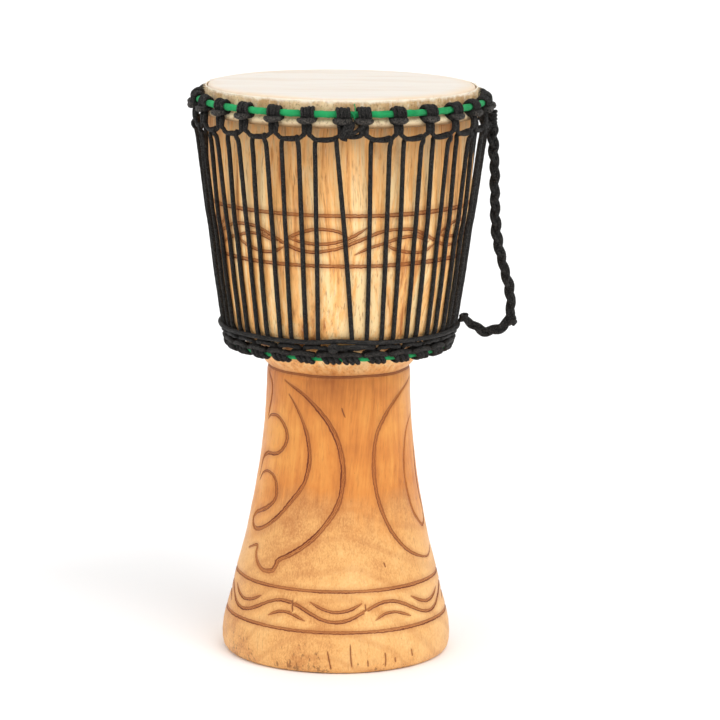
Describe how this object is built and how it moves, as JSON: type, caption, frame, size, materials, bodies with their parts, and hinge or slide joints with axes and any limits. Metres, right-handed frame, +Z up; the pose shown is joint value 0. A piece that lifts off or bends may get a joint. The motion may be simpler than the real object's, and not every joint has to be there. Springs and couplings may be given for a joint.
{
  "type": "djembe",
  "caption": "Rope-tuned goblet hand drum: carved wooden bowl on a flared foot, goatskin head held by cloth-wrapped rings, black lacing and a plaited rope handle.",
  "frame": {"origin": "centre of the foot, on the floor", "axes": "+Z up along the drum's axis to the playing surface, -Y the front, +X towards the handle"},
  "size_m": [0.3405, 0.3152, 0.6],
  "materials": {
    "carved_wood": "light reddish-tan hardwood, oiled satin, carved lines burnt darker",
    "goatskin": "dry scraped goatskin, cream, tan and hairy on the trimmed collar",
    "green_cloth": "plain-woven green cotton strip, matte",
    "black_rope": "braided black polyester rope, matte with a grey bloom on the knots",
    "ring_steel": "welded mild steel rod, plain"
  },
  "bodies": {
    "drum": {"shell": "carved_wood", "lacing_rope": "black_rope", "lock_rope": "black_rope", "lock_rope_knot": "black_rope", "bottom_ring": "ring_steel", "bottom_ring_cloth": "green_cloth", "bottom_cradle_rope": "black_rope", "handle_bottom_hitch": "black_rope"},
    "crown": {"head_skin": "goatskin", "flesh_ring": "ring_steel", "crown_ring": "ring_steel", "crown_ring_cloth": "green_cloth", "top_cradle_rope": "black_rope", "top_tie_off": "black_rope", "handle_top_hitch": "black_rope"},
    "handle": {"handle_rope": "black_rope"}
  },
  "joints": [
    {"name": "tuning_travel", "type": "slide", "parent": "drum", "child": "crown", "axis": [0, 0, 1], "range_m": [0, 0.008], "deforming": ["lacing_rope"]},
    {"name": "handle_swing", "type": "hinge", "parent": "drum", "child": "handle", "pos_m": [0.1305, 0, 0.3555], "axis": [0.1257, 0, 0.9921], "range_deg": [-60, 60]}
  ]
}
